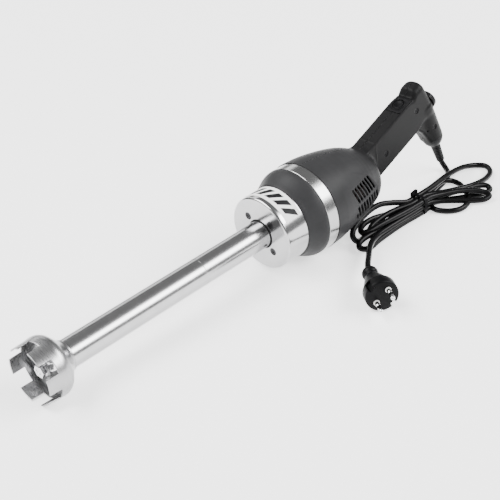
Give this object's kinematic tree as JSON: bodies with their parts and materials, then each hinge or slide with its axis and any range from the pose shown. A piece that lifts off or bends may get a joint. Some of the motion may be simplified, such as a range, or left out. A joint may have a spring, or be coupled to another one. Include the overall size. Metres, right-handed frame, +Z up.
{
  "type": "immersion blender",
  "caption": "Commercial immersion blender with slotted bell, steel shaft, dark handle, speed knob, push button and a tied mains lead",
  "frame": {"origin": "on the table, under the middle of the tool (the tool without its mains lead)", "axes": "+X from the bell to the handle, +Y away from the side the label and lead are on, +Z up"},
  "size_m": [0.6768, 0.2291, 0.1401],
  "materials": {
    "steel": "polished",
    "bright": "polished",
    "alloy": "satin",
    "bronze": "satin",
    "copper": "satin",
    "lamination": "satin",
    "body": "satin",
    "black": "satin",
    "board": "satin",
    "ivory": "satin",
    "label": "satin",
    "rubber": "matte",
    "cord": "gloss"
  },
  "bodies": {
    "tool": {"blade_guard": "steel", "shaft_tube": "steel", "lip_seal": "rubber", "lower_bush": "bronze", "tube_bearing": "steel", "tube_flange": "steel", "collar": "alloy", "collar_screws": "steel", "tube_seal": "rubber", "collar_label": "label", "front_bracket": "alloy", "front_bearing": "steel", "nose_ring": "body", "trim_band": "steel", "stator_core": "lamination", "field_coils": "copper", "rear_bracket": "alloy", "rear_bearing": "steel", "brush_holders": "bronze", "carbon_brushes": "black", "left_shell": "body", "right_shell": "body", "shell_screws": "steel", "speed_board": "board", "potentiometer": "black", "switch_body": "black", "switch_bezel": "black", "return_spring": "steel", "cord_clamp": "black", "gland_cap": "body", "strain_relief": "rubber", "mains_lead": "cord", "cord_hank": "cord", "cable_tie": "black", "plug_lead": "cord", "plug_body": "rubber", "pin_collars": "ivory", "plug_pins": "bright"},
    "spindle": {"motor_shaft": "steel", "rotor_core": "lamination", "armature_winding": "copper", "commutator": "copper", "cooling_fan": "ivory", "coupling_sleeve": "black", "drive_shaft": "steel", "blade_spacer": "steel", "blade": "steel", "blade_nut": "bright"},
    "button": {"push_button": "black"},
    "knob": {"speed_knob": "black", "speed_spindle": "steel"}
  },
  "joints": [
    {"name": "blade_spin", "type": "hinge", "parent": "tool", "child": "spindle", "pos_m": [-0.14266, 0, 0.04278], "axis": [0.9985, 0, 0.0541], "continuous": true},
    {"name": "knob_turn", "type": "hinge", "parent": "tool", "child": "knob", "pos_m": [0.29208, 0, 0.10859], "axis": [0.911, 0, 0.4123], "range_deg": [0, 270]},
    {"name": "button_press", "type": "slide", "parent": "tool", "child": "button", "axis": [0.4123, 0, -0.911], "range_m": [0, 0.0025], "stiffness_N_per_m": 900, "springref_m": -0.001, "deforming": ["return_spring"]}
  ]
}
